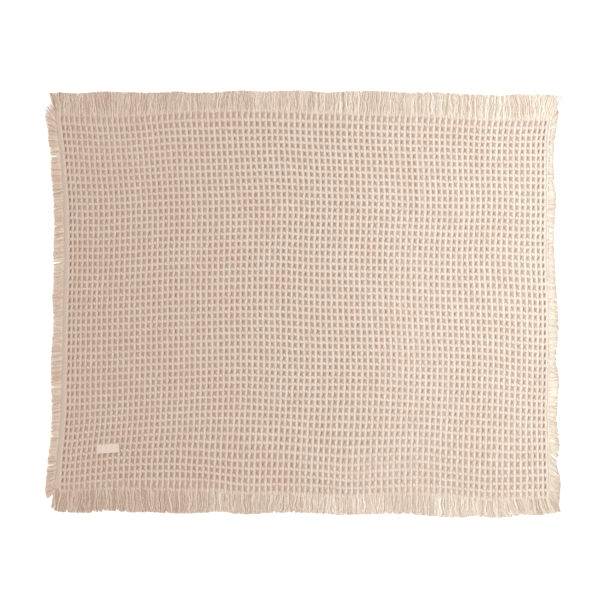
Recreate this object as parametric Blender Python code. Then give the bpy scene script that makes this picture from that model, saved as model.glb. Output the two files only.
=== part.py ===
# A waffle weave cotton blanket with a yarn fringe on all four sides, lying flat with its face up.
# Metres, +Z up. Its long side runs along X, and it rests on z = 0, with the origin under its middle.
#
# The cloth is one woven piece: the waffle field and the narrow plain bands at its sides. Each fringe
# is one comb along its edge, a tooth for each two rows or columns of the weave, and a small label is
# sewn on near one corner. Every edge wavers, as unhemmed cloth does when it is laid down by hand.

from collections import namedtuple

import bmesh
import bpy
import numpy as np

# Cloth
CLOTH_THICKNESS = 0.0042  # ridge to ridge, through the deep cells of the weave
ACROSS_SECTIONS = 44      # along X, a section for each two of the cells' columns
UP_SECTIONS = 27          # along Y, a section for each two of their rows

# Fringes
FRINGE_THICKNESS = 0.0026  # one or two yarns, lying on the floor
HEADER_DEPTH = 0.006       # from the cloth to where the teeth part
GAP_AT_HEADER = 0.06       # share of a tooth's pitch that is open between the teeth
GAP_AT_TIPS = 0.16
FAN_REACH = 0.045          # how far from a corner the strands still splay

# Label
LABEL_SIZE = (0.052, 0.021, 0.0006)
LABEL_PLACE = (-0.4545, -0.3355)
LABEL_TURN = 3.5  # degrees, its +X end away from the near edge

CLEARANCE = 0.0003  # between pieces that touch
EDGE_ROUNDS = 8     # of working out where a row and a column cross, between edges that waver

# The four edges. along is the place on the edge, cloth is where the weave ends there, and tips is
# where the fringe ends.
Section = namedtuple("Section", "along cloth tips")
TOP_EDGE = (
    Section(-0.582, 0.440, 0.493),
    Section(-0.428, 0.438, 0.497),
    Section(-0.288, 0.447, 0.495),
    Section(-0.148, 0.450, 0.498),
    Section(-0.009, 0.450, 0.498),
    Section(0.061, 0.446, 0.496),
    Section(0.201, 0.443, 0.497),
    Section(0.341, 0.438, 0.493),
    Section(0.480, 0.436, 0.490),
    Section(0.576, 0.435, 0.488),
)
BOTTOM_EDGE = (
    Section(-0.584, -0.438, -0.479),
    Section(-0.540, -0.433, -0.485),
    Section(-0.451, -0.426, -0.482),
    Section(-0.253, -0.429, -0.486),
    Section(-0.148, -0.436, -0.488),
    Section(-0.009, -0.439, -0.487),
    Section(0.131, -0.446, -0.490),
    Section(0.236, -0.439, -0.490),
    Section(0.341, -0.443, -0.497),
    Section(0.480, -0.451, -0.496),
    Section(0.576, -0.448, -0.488),
)
LEFT_EDGE = (
    Section(-0.439, -0.584, -0.600),
    Section(-0.374, -0.579, -0.598),
    Section(-0.316, -0.571, -0.590),
    Section(-0.222, -0.568, -0.588),
    Section(0.010, -0.563, -0.584),
    Section(0.127, -0.561, -0.582),
    Section(0.243, -0.563, -0.584),
    Section(0.325, -0.567, -0.586),
    Section(0.383, -0.574, -0.595),
    Section(0.441, -0.581, -0.602),
)
RIGHT_EDGE = (
    Section(-0.448, 0.576, 0.597),
    Section(-0.339, 0.573, 0.594),
    Section(-0.222, 0.572, 0.592),
    Section(0.010, 0.572, 0.590),
    Section(0.104, 0.570, 0.585),
    Section(0.243, 0.570, 0.587),
    Section(0.360, 0.571, 0.584),
    Section(0.434, 0.578, 0.592),
)

# The fringes. outward is the way the strands point, and the fans say how far the strands at each end
# of the edge splay along it, past the cloth's corner.
Fringe = namedtuple("Fringe", "edge outward teeth low_fan high_fan")
FRINGES = {
    "fringe_top": Fringe(TOP_EDGE, (0, 1), ACROSS_SECTIONS, -0.014, 0.025),
    "fringe_bottom": Fringe(BOTTOM_EDGE, (0, -1), ACROSS_SECTIONS, -0.005, 0.020),
    "fringe_left": Fringe(LEFT_EDGE, (-1, 0), UP_SECTIONS, -0.014, 0.024),
    "fringe_right": Fringe(RIGHT_EDGE, (1, 0), UP_SECTIONS, -0.017, 0.011),
}

# Soft swells in the cloth's upper side, where it doesn't lie quite flat.
Swell = namedtuple("Swell", "x y reach_x reach_y height")
SWELLS = (
    Swell(-0.13, 0.05, 0.05, 0.45, 0.0006),
    Swell(0.26, -0.10, 0.07, 0.40, 0.0005),
    Swell(-0.42, 0.36, 0.12, 0.06, 0.0006),
    Swell(-0.30, -0.37, 0.20, 0.04, 0.0005),
    Swell(0.16, -0.39, 0.10, 0.04, 0.0006),
    Swell(0.45, 0.28, 0.09, 0.16, -0.0004),
)


def smooth(sections, column, along):
    """A column of an edge's table as a smooth curve, read at one place along the edge."""
    places = np.array([section.along for section in sections])
    values = np.array([getattr(section, column) for section in sections])
    slopes = np.gradient(values, places)
    along = float(np.clip(along, places[0], places[-1]))
    i = int(np.clip(np.searchsorted(places, along) - 1, 0, len(places) - 2))
    width = places[i + 1] - places[i]
    t = (along - places[i]) / width
    start = (1 + 2 * t) * (1 - t) ** 2 * values[i] + t * (1 - t) ** 2 * width * slopes[i]
    end = t * t * (3 - 2 * t) * values[i + 1] + t * t * (t - 1) * width * slopes[i + 1]
    return start + end


def cloth_point(across, up):
    """The place of a point of the cloth, given as a share of its width and of its length."""
    x = 0.0
    y = 0.0
    for _ in range(EDGE_ROUNDS):
        left = smooth(LEFT_EDGE, "cloth", y)
        right = smooth(RIGHT_EDGE, "cloth", y)
        x = left + (right - left) * across
        bottom = smooth(BOTTOM_EDGE, "cloth", x)
        top = smooth(TOP_EDGE, "cloth", x)
        y = bottom + (top - bottom) * up
    return x, y


def cloth_height(x, y):
    """The height of the cloth's upper side."""
    height = CLOTH_THICKNESS
    for swell in SWELLS:
        away = ((x - swell.x) / swell.reach_x) ** 2 + ((y - swell.y) / swell.reach_y) ** 2
        height += swell.height * np.exp(-away)
    return height


def add_material(name, colour, roughness):
    """A cloth finish. colour is linear."""
    material = bpy.data.materials.new(name)
    material.use_nodes = True
    shader = material.node_tree.nodes["Principled BSDF"]
    shader.inputs["Base Color"].default_value = (*colour, 1.0)
    shader.inputs["Roughness"].default_value = roughness
    shader.inputs["Metallic"].default_value = 0.0
    return material


def add_object(name, data, material, collection, middle):
    """An object for one piece, hung from the empty that centres the blanket."""
    piece = bpy.data.objects.new(name, data)
    piece.data.materials.append(material)
    piece.parent = middle
    collection.objects.link(piece)
    return piece


def build_cloth():
    """The woven piece: a grid drawn out to the four edges, raised from a flat underside."""
    bm = bmesh.new()
    bmesh.ops.create_grid(bm, x_segments=ACROSS_SECTIONS, y_segments=UP_SECTIONS, size=0.5)
    for vertex in bm.verts:
        x, y = cloth_point(vertex.co.x + 0.5, vertex.co.y + 0.5)
        vertex.co = (x, y, 0.0)
    underside = bm.faces[:]
    raised = bmesh.ops.extrude_face_region(bm, geom=underside)
    for item in raised["geom"]:
        if isinstance(item, bmesh.types.BMVert):
            item.co.z = cloth_height(item.co.x, item.co.y)
    bmesh.ops.dissolve_faces(bm, faces=[face for face in bm.faces if is_flat_on_floor(face)])
    bmesh.ops.recalc_face_normals(bm, faces=bm.faces)
    mesh = bpy.data.meshes.new("waffle_cloth")
    bm.to_mesh(mesh)
    bm.free()
    return mesh


def is_flat_on_floor(face):
    return all(vertex.co.z == 0.0 for vertex in face.verts)


def edge_point(fringe, share):
    """A point of the cloth's edge that carries a fringe, at a share of the edge's length."""
    x_way, y_way = fringe.outward
    if x_way:
        return np.array(cloth_point((1 + x_way) / 2, share))
    return np.array(cloth_point(share, (1 + y_way) / 2))


def strand_tip(fringe, foot):
    """Where a strand ends: straight out, but splayed along the edge near the cloth's corners."""
    axis = 1 if fringe.outward[0] else 0
    from_low = foot[axis] - edge_point(fringe, 0.0)[axis]
    from_high = edge_point(fringe, 1.0)[axis] - foot[axis]
    tip = np.empty(2)
    tip[axis] = foot[axis]
    tip[axis] += fringe.low_fan * np.exp(-from_low / FAN_REACH)
    tip[axis] += fringe.high_fan * np.exp(-from_high / FAN_REACH)
    tip[1 - axis] = smooth(fringe.edge, "tips", foot[axis])
    return tip


def fringe_outline(fringe):
    """The outline of a comb: along the cloth and back round its teeth."""
    feet = [edge_point(fringe, i / fringe.teeth) for i in range(fringe.teeth + 1)]
    tips = [strand_tip(fringe, foot) for foot in feet]
    strands = [tip - foot for foot, tip in zip(feet, tips)]
    header = [foot + strand * HEADER_DEPTH / np.linalg.norm(strand) for foot, strand in zip(feet, strands)]
    along_cloth = [foot + np.array(fringe.outward) * CLEARANCE for foot in feet]
    round_teeth = []
    for i in reversed(range(fringe.teeth)):
        foot_step = header[i] - header[i + 1]
        tip_step = tips[i] - tips[i + 1]
        round_teeth.append(header[i + 1] + foot_step * GAP_AT_HEADER)
        round_teeth.append(tips[i + 1] + tip_step * GAP_AT_TIPS)
        round_teeth.append(tips[i] - tip_step * GAP_AT_TIPS)
        round_teeth.append(header[i] - foot_step * GAP_AT_HEADER)
    return along_cloth + round_teeth


def build_fringe(name, outline):
    """A flat comb, filled and given its thickness."""
    curve = bpy.data.curves.new(name, "CURVE")
    curve.dimensions = "2D"
    curve.fill_mode = "BOTH"
    curve.extrude = FRINGE_THICKNESS / 2
    spline = curve.splines.new("POLY")
    spline.points.add(len(outline) - 1)
    for point, (x, y) in zip(spline.points, outline):
        point.co = (x, y, 0.0, 1.0)
    spline.use_cyclic_u = True
    return curve


def build_label():
    """A plain woven strip, as a thin box about its own middle."""
    bm = bmesh.new()
    bmesh.ops.create_cube(bm, size=1.0)
    bmesh.ops.scale(bm, vec=LABEL_SIZE, verts=bm.verts)
    mesh = bpy.data.meshes.new("sewn_label")
    bm.to_mesh(mesh)
    bm.free()
    return mesh


def label_height():
    """Where the label's middle lies, clear of the highest cloth under it."""
    x, y = LABEL_PLACE
    half_x = LABEL_SIZE[0] / 2
    half_y = LABEL_SIZE[1] / 2
    under = [(x + across * half_x, y + up * half_y) for across in (-1, 0, 1) for up in (-1, 0, 1)]
    highest = max(cloth_height(*place) for place in under)
    return highest + CLEARANCE + LABEL_SIZE[2] / 2


def centre_of(outlines):
    """The middle of the box round all the fringes' outlines."""
    points = np.concatenate([np.array(outline) for outline in outlines])
    return (points.min(axis=0) + points.max(axis=0)) / 2


def build_blanket():
    for old in list(bpy.data.objects):
        bpy.data.objects.remove(old, do_unlink=True)
    collection = bpy.data.collections.new("waffle_blanket")
    bpy.context.scene.collection.children.link(collection)

    outlines = {name: fringe_outline(fringe) for name, fringe in FRINGES.items()}
    middle = bpy.data.objects.new("middle", None)
    centre_x, centre_y = centre_of(outlines.values())
    middle.location = (-centre_x, -centre_y, 0.0)
    collection.objects.link(middle)

    woven = add_material("woven cotton", (0.68, 0.55, 0.45), 0.9)
    add_object("waffle_cloth", build_cloth(), woven, collection, middle)

    yarn = add_material("loose cotton yarn", (0.72, 0.59, 0.49), 0.9)
    for name, outline in outlines.items():
        fringe = add_object(name, build_fringe(name, outline), yarn, collection, middle)
        fringe.location.z = FRINGE_THICKNESS / 2

    tape = add_material("woven label tape", (0.85, 0.76, 0.66), 0.7)
    label = add_object("sewn_label", build_label(), tape, collection, middle)
    label.location = (*LABEL_PLACE, label_height())
    label.rotation_euler.z = np.radians(LABEL_TURN)


build_blanket()
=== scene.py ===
# A waffle weave cotton blanket with a yarn fringe on all four sides, laid out flat, face up.
# Metres, +Z up, in the CAD's frame. The weave has its own coordinates: columns count from the left
# and rows from the top, a whole number is a ridge, and a half is the middle of a well.

import bpy
import numpy as np
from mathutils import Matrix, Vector


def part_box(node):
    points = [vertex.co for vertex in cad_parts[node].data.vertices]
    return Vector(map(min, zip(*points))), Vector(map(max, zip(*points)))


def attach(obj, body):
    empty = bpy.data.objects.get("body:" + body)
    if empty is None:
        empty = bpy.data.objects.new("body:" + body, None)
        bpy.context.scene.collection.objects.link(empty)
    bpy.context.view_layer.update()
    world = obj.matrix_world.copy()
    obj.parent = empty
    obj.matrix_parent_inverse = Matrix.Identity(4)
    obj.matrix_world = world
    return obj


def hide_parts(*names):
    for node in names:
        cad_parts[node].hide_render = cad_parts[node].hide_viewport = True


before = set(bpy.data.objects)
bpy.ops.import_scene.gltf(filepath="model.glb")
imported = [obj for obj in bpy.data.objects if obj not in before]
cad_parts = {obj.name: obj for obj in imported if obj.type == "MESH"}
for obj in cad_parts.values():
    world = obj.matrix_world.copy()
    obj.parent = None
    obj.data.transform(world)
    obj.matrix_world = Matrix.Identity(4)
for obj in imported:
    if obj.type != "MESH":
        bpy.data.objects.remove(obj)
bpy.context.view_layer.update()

scene = bpy.context.scene
millimetre = 0.001

layout = {
    "columns": 86,
    "rows": 52,
    "threadsPerColumn": 8,
    "threadsPerRow": 10,
    "zeroX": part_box("waffle_cloth")[0].x + 0.584,  # the CAD centres its box, these tables don't
    "zeroY": 0.0,
    "crossingDrift": 0.35,  # mm, how far a crossing of two ridges strays
    "seed": 41,
}

# Columns in mm along X, read at these places along Y. Column -1 and 87 are the cloth's edges, and
# the plain bands lie between them and the waffle, whose outermost columns are narrow slits.
columnPlaces = (-421, -362, -269, -153, 10, 104, 243, 313, 395, 435)
columnLines = {
    -1: (-583, -578, -570, -566, -563, -561, -563, -566, -576, -581),
    0: (-567, -563, -555, -552, -549, -547, -549, -554, -562, -567),
    1: (-557, -553, -545, -542, -539, -537, -539, -544, -552, -557),
    5.5: (-503, -500, -491, -489, -487, -484, -484, -490, -497, -502),
    14.5: (-387, -385, -378, -374, -373, -371, -371, -376, -383, -388),
    23.5: (-268, -266, -261, -258, -258, -257, -256, -260, -265, -269),
    35.5: (-108, -106, -102, -98, -100, -98, -96, -101, -106, -108),
    47.5: (52, 54, 59, 63, 59, 58, 61, 59, 54, 54),
    65.5: (299, 299, 302, 306, 299, 298, 304, 300, 297, 299),
    77.5: (457, 458, 459, 462, 459, 454, 458, 456, 458, 463),
    85: (559, 557, 555, 557, 557, 553, 553, 553, 555, 561),
    86: (569, 567, 565, 567, 567, 563, 563, 563, 565, 571),
    87: (576, 574, 573, 572, 572, 570, 570, 571, 574, 578),
}

# Rows in mm along Y, read at these places along X.
rowPlaces = (-545, -463, -382, -300, -218, -137, -55, 26, 108, 189, 271, 352, 434, 516, 550)
rowLines = {
    0: (442, 438, 440, 447, 450, 451, 450, 447, 444, 441, 439, 435, 430, 430, 431),
    1: (421, 417, 420, 427, 429, 430, 429, 426, 424, 421, 419, 416, 411, 411, 412),
    4.5: (361, 358, 361, 367, 368, 370, 371, 367, 365, 363, 361, 359, 356, 356, 356),
    12.5: (226, 226, 231, 235, 237, 239, 240, 237, 235, 233, 230, 228, 228, 225, 224),
    20.5: (94, 95, 99, 104, 105, 108, 108, 103, 102, 100, 98, 95, 95, 91, 90),
    26.5: (-7, -5, -1, 4, 6, 8, 8, 3, 1, 0, -3, -6, -8, -12, -14),
    32.5: (-107, -104, -100, -96, -93, -91, -93, -97, -98, -99, -102, -104, -108, -116, -118),
    40.5: (-242, -237, -232, -228, -224, -223, -227, -229, -229, -231, -235, -239, -242, -248, -250),
    44.5: (-310, -302, -297, -293, -291, -292, -294, -300, -302, -302, -302, -309, -313, -317, -316),
    48.5: (-377, -368, -364, -363, -368, -373, -373, -378, -384, -378, -376, -384, -391, -390, -389),
    51.5: (-426, -419, -417, -418, -420, -429, -429, -432, -437, -433, -431, -437, -444, -442, -441),
    52: (-434, -428, -428, -431, -432, -439, -439, -444, -447, -442, -441, -447, -453, -450, -449),
}

# Soft swells and troughs, where the cloth doesn't lie quite flat: middle, reach and height, in mm,
# and how far one slants, in mm across for each mm up.
folds = (
    (260, -100, 70, 400, 0.4, 0.0),
    (-420, 360, 120, 60, 0.5, 0.0),
    (160, -390, 100, 40, 0.6, 0.0),
    (-330, -390, 170, 60, -0.3, 0.0),
    (540, -400, 90, 60, -0.3, 0.0),
    (259, 302, 8, 165, -0.6, -0.08),
    (273, 330, 8, 140, 0.35, -0.08),
    (8, -316, 9, 120, 0.4, 0.117),
    (-66, 0, 12, 130, 0.25, -0.04),
    (-38, -20, 8, 110, -0.25, 0.0),
    (-300, -120, 9, 110, -0.25, 0.1),
    (-262, 0, 22, 220, 0.25, 0.06),
    (222, 115, 12, 90, 0.2, 0.0),
    (188, 115, 12, 90, -0.2, 0.0),
    (296, -190, 10, 80, -0.25, 0.0),
    (340, -180, 16, 80, 0.2, 0.0),
    (372, 197, 22, 100, 0.2, 0.0),
)


# A cubic between two values with a slope at each.
def bend(t, width, low, high, lowSlope, highSlope):
    start = (1 + 2 * t) * (1 - t) ** 2 * low + t * (1 - t) ** 2 * width * lowSlope
    end = t * t * (3 - 2 * t) * high + t * t * (t - 1) * width * highSlope
    return start + end


# A smooth curve through a table, read at many places at once.
def smoothCurve(places, values, at):
    places = np.array(places, float)
    values = np.array(values, float)
    slopes = np.gradient(values, places)
    at = np.clip(at, places[0], places[-1])
    i = np.clip(np.searchsorted(places, at) - 1, 0, len(places) - 2)
    width = places[i + 1] - places[i]
    return bend((at - places[i]) / width, width, values[i], values[i + 1], slopes[i], slopes[i + 1])


# The same between whole lines of a table: first along each line, then from line to line.
def smoothLines(lines, places, line, at):
    keys = np.array(list(lines), float)
    curves = np.array([smoothCurve(places, values, at) for values in lines.values()])
    slopes = np.gradient(curves, keys, axis=0)
    i = np.clip(np.searchsorted(keys, line) - 1, 0, len(keys) - 2)
    n = np.arange(len(line))
    width = keys[i + 1] - keys[i]
    t = (line - keys[i]) / width
    return bend(t, width, curves[i, n], curves[i + 1, n], slopes[i, n], slopes[i + 1, n])


# How far each crossing of two ridges strays, spread evenly over the cells between.
def strayOf(column, row):
    chance = np.random.default_rng(layout["seed"])
    drift = chance.normal(size=(2, layout["columns"] + 3, layout["rows"] + 1))
    across = np.clip(column + 1, 0, layout["columns"] + 1.999)
    down = np.clip(row, 0, layout["rows"] - 0.001)
    i = across.astype(int)
    j = down.astype(int)
    u = across - i
    v = down - j
    upper = drift[:, i, j] * (1 - u) + drift[:, i + 1, j] * u
    lower = drift[:, i, j + 1] * (1 - u) + drift[:, i + 1, j + 1] * u
    return (upper * (1 - v) + lower * v) * layout["crossingDrift"] * millimetre


# The place of points of the weave, given by their columns and rows.
def clothPoint(column, row):
    column = np.asarray(column, float)
    row = np.asarray(row, float)
    x = np.zeros(len(column))
    y = np.zeros(len(column))
    for _ in range(8):  # each depends on the other, so they close in on the place in turns
        x = smoothLines(columnLines, columnPlaces, column, y)
        y = smoothLines(rowLines, rowPlaces, row, x)
    stray = strayOf(column, row)
    return (
        x * millimetre + layout["zeroX"] + stray[0],
        y * millimetre + layout["zeroY"] + stray[1],
    )


# How much the folds raise the cloth at these places.
def liftAt(x, y):
    lift = np.zeros(len(x))
    for middleX, middleY, reachX, reachY, height, slant in folds:
        up = y / millimetre - middleY
        across = x / millimetre - middleX - slant * up
        lift += height * millimetre * np.exp(-(across / reachX) ** 2 - (up / reachY) ** 2)
    return lift


def linearColour(hexColour):
    parts = [int(hexColour[i:i + 2], 16) / 255 for i in (1, 3, 5)]
    return (*[p / 12.92 if p <= 0.04045 else ((p + 0.055) / 1.055) ** 2.4 for p in parts], 1.0)


# Adds a node. An input that is given a node or a socket is linked, and any other is set.
def addNode(tree, kind, inputs=None, **settings):
    node = tree.nodes.new(kind)
    for name, value in settings.items():
        setattr(node, name, value)
    for key, value in (inputs or {}).items():
        if isinstance(value, bpy.types.Node):
            value = next(socket for socket in value.outputs if socket.enabled)
        if isinstance(value, bpy.types.NodeSocket):
            tree.links.new(value, node.inputs[key])
        else:
            node.inputs[key].default_value = value
    return node


# An empty geometry tree with these named inputs, and its input node.
def newTree(name, inputs):
    tree = bpy.data.node_groups.new(name, "GeometryNodeTree")
    tree.interface.new_socket("Geometry", in_out="INPUT", socket_type="NodeSocketGeometry")
    for label, kind in inputs.items():
        tree.interface.new_socket(label, in_out="INPUT", socket_type="NodeSocket" + kind)
    tree.interface.new_socket("Geometry", in_out="OUTPUT", socket_type="NodeSocketGeometry")
    return tree, addNode(tree, "NodeGroupInput")


# Ends a tree: realized, shaded smooth, with its material.
def closeTree(tree, geometry, material):
    real = addNode(tree, "GeometryNodeRealizeInstances", {"Geometry": geometry})
    smooth = addNode(tree, "GeometryNodeSetShadeSmooth", {"Geometry": real})
    dressed = addNode(tree, "GeometryNodeSetMaterial", {"Geometry": smooth, "Material": material})
    addNode(tree, "NodeGroupOutput", {"Geometry": dressed})


# Runs a tree on an object and keeps the result as its plain mesh.
def runTree(piece, tree, values):
    modifier = piece.modifiers.new(tree.name, "NODES")
    modifier.node_group = tree
    for item in tree.interface.items_tree:
        if item.item_type == "SOCKET" and item.in_out == "INPUT" and item.name in values:
            modifier[item.identifier] = values[item.name]
    evaluated = piece.evaluated_get(bpy.context.evaluated_depsgraph_get())
    result = bpy.data.meshes.new_from_object(evaluated)
    result.name = piece.name
    piece.modifiers.clear()
    piece.data = result
    return piece


def newPiece(name, vertices, edges, faces, attributes):
    mesh = bpy.data.meshes.new(name)
    mesh.from_pydata(vertices, edges, faces)
    for label, values in attributes.items():
        layer = mesh.attributes.new(label, "FLOAT", "POINT")
        layer.data.foreach_set("value", np.asarray(values, np.float32))
    piece = bpy.data.objects.new(name, mesh)
    scene.collection.objects.link(piece)
    return piece


bakeMap = {
    "faceDown": -0.2,        # a face whose normal points lower than this is part of the underside
    "upperV": (0.01, 0.74),  # where the upper side starts on the map and how far it goes
    "underV": (0.77, 0.22),
    "bothU": (0.01, 0.98),
}


# A map from straight above for the bake. What faces down gets its own, smaller copy above it.
def mapFromAbove(piece, settings):
    mesh = piece.data
    points = np.empty(len(mesh.vertices) * 3, np.float32)
    mesh.vertices.foreach_get("co", points)
    points = points.reshape(-1, 3)
    corners = np.empty(len(mesh.loops), np.int32)
    mesh.loops.foreach_get("vertex_index", corners)
    normals = np.empty(len(mesh.polygons) * 3, np.float32)
    mesh.polygons.foreach_get("normal", normals)
    sizes = np.empty(len(mesh.polygons), np.int32)
    mesh.polygons.foreach_get("loop_total", sizes)
    facesDown = np.repeat(normals.reshape(-1, 3)[:, 2] < settings["faceDown"], sizes)
    place = points[corners, :2]
    lowest = place.min(axis=0)
    share = (place - lowest) / (place.max(axis=0) - lowest)
    startU, sizeU = settings["bothU"]
    startV = np.where(facesDown, settings["underV"][0], settings["upperV"][0])
    sizeV = np.where(facesDown, settings["underV"][1], settings["upperV"][1])
    share[:, 0] = startU + share[:, 0] * sizeU
    share[:, 1] = startV + share[:, 1] * sizeV
    layer = mesh.uv_layers.new(name="OFBake")
    layer.data.foreach_set("uv", share.astype(np.float32).ravel())
    mesh.uv_layers.active = layer


cameraSettings = {
    "distance": 6.0,       # m, straight above
    "frameWidth": 1.398,   # m of floor across the picture
    "middle": (-0.0065, 0.0105),
}


def buildCamera(settings):
    data = bpy.data.cameras.new("camera")
    data.sensor_width = 36.0
    data.lens = data.sensor_width * settings["distance"] / settings["frameWidth"]
    camera = bpy.data.objects.new("camera", data)
    camera.location = (*settings["middle"], settings["distance"])
    scene.collection.objects.link(camera)
    scene.camera = camera


buildCamera(cameraSettings)
print("camera above")

# Cotton waffle cloth: soft spun yarn in a deep weave. The eye sees matt threads that run down the
# walls at the sides of each well and across those at its ends, with painted shade, warmer and darker,
# deep down.
waffleCotton = {
    "ridge": "#E6D3C5",
    # painted shade: the colour deep in the wells, and the colour of the painted shade between threads,
    # in creases and in spots
    "deep": "#AE9078",
    "paintedShade": "#A98F7A",
    "blush": "#E7CFC1",
    # the plain bands at the sides: the right one painted paler than the left, as painted light
    "leftBand": "#DFCFC3",
    "rightBandPaintedLight": "#E9DDD9",
    "roughness": 0.95,
    "sheen": 0.25,
    "paintedShadeDepths": (0.0004, 0.003),   # m up, where the painted shade is deepest and where there is none, all ridge
    "cellSpread": 0.03,          # how far the cells differ in the depth of their painted shade
    "threadRelief": 0.0004,      # m
    "fuzz": 900.0,               # tufts of fibre for each metre, as fine as shows
    "fuzzShare": 0.35,           # of the thread relief
    "turnWidth": 0.02,           # how wide the line is where warp gives way to weft
    "gapShade": 0.35,            # how dark the painted shade is between two threads
    "gapWidth": 0.45,
    "creaseShade": 0.42,         # how dark the painted shade is in the creases that run in from a well's corners
    "creaseWidth": 0.1,
    "creaseCentre": 0.42,        # and where across the well they meet
    "spotShade": 0.3,            # and the painted shade in spots where yarns dive
    "spotSize": 0.0026,          # m
    "spotRange": (0.52, 0.68),   # the part of the noise over which they come in
    "backPlaces": (0.15, 0.48),  # underneath, where the painted shade starts and where it is deepest, from a cell's middle outwards
    "backDeepestPaintedShade": 0.3,
}

# The same cotton as the long floats of the ridges: soft, full yarn, so the eye sees pale cords with
# a little shade between them, partly painted shade in the grooves of the twist.
spunFloats = {
    "light": "#E8D6C8",
    "shade": "#B18D72",
    "blush": "#E8D2C4",
    "twist": 0.0042,    # m for a turn
    "roughness": 0.95,
    "sheen": 0.3,
    "relief": 0.00025,  # m
}

# Plied cotton yarn: two spun strands twisted together, with short fibres standing off. The eye
# sees a fine slant of light and dark, with painted shade in the grooves, along a matt, slightly furry
# yarn.
pliedCotton = {
    "light": "#FBEEE1",
    "shade": "#C0A891",
    "blush": "#F9E6D8",
    "twist": 0.0042,    # m for a turn, about twice the real one so that it shows
    "roughness": 0.95,
    "sheen": 0.3,
    "relief": 0.00025,
}

# What the yarns' finishes share.
yarnGrain = {
    "ownStart": 7.0,      # turns from one tint to the next, so that no two yarns start alike
    "fuzz": 1100.0,       # tufts of fibre for each metre, as fine as shows
    "fuzzShare": 0.5,     # of the relief
    "plyTone": 0.3,       # how much lighter a ply is than the painted shade in the groove beside it
    "slubs": 330.0,       # for each metre, where the yarn is fuller
    "slubTone": 0.8,
    "tones": (0.4, 1.5),  # where it is all shade and where all light
}

# How the two tones of a yarn lie over the cloth.
toneDrift = {
    "patches": 14.0,         # for each metre
    "between": (0.42, 0.6),  # the part of the noise over which they pass into each other
}

# Woven label tape: fine flat cotton satin, smoother and a little shinier than the cloth.
labelTape = {
    "face": "#F2E3D7",
    "rib": "#E6D4C7",
    "ribWidth": 0.0011,  # m, of a rib and of the gap beside it, coarse enough to show
    "ribTurn": 3.5,      # degrees, as the label lies
    "relief": 0.0001,
    "roughness": 0.7,
    "sheen": 0.1,
}


# Everything here is matt: little gloss of its own, and a soft sheen where there is any.
def newMaterial(name, roughness, sheen):
    material = bpy.data.materials.new(name)
    material.use_nodes = True
    tree = material.node_tree
    shader = tree.nodes["Principled BSDF"]
    shader.inputs["Roughness"].default_value = roughness
    shader.inputs["Specular IOR Level"].default_value = 0.25
    shader.inputs["Sheen Weight"].default_value = sheen
    shader.inputs["Sheen Roughness"].default_value = 0.6
    return material, tree, shader


# Links a colour and a bump from a height to the shader.
def linkSurface(tree, shader, colour, height, relief):
    tree.links.new(colour.outputs[2], shader.inputs["Base Color"])
    bump = addNode(tree, "ShaderNodeBump", {"Height": height, "Distance": relief})
    tree.links.new(bump.outputs["Normal"], shader.inputs["Normal"])


# Two tones of the same yarn, which pass into each other slowly over the cloth.
def driftingTone(tree, place, tone, blush):
    drift = addNode(tree, "ShaderNodeTexNoise", {
        "Vector": place, "Scale": toneDrift["patches"], "Detail": 4.0,
    })
    first, last = toneDrift["between"]
    share = addNode(tree, "ShaderNodeMapRange", {"Value": drift, "From Min": first, "From Max": last})
    return addNode(tree, "ShaderNodeMix", {
        0: share, 6: linearColour(tone), 7: linearColour(blush),
    }, data_type="RGBA")


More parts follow.
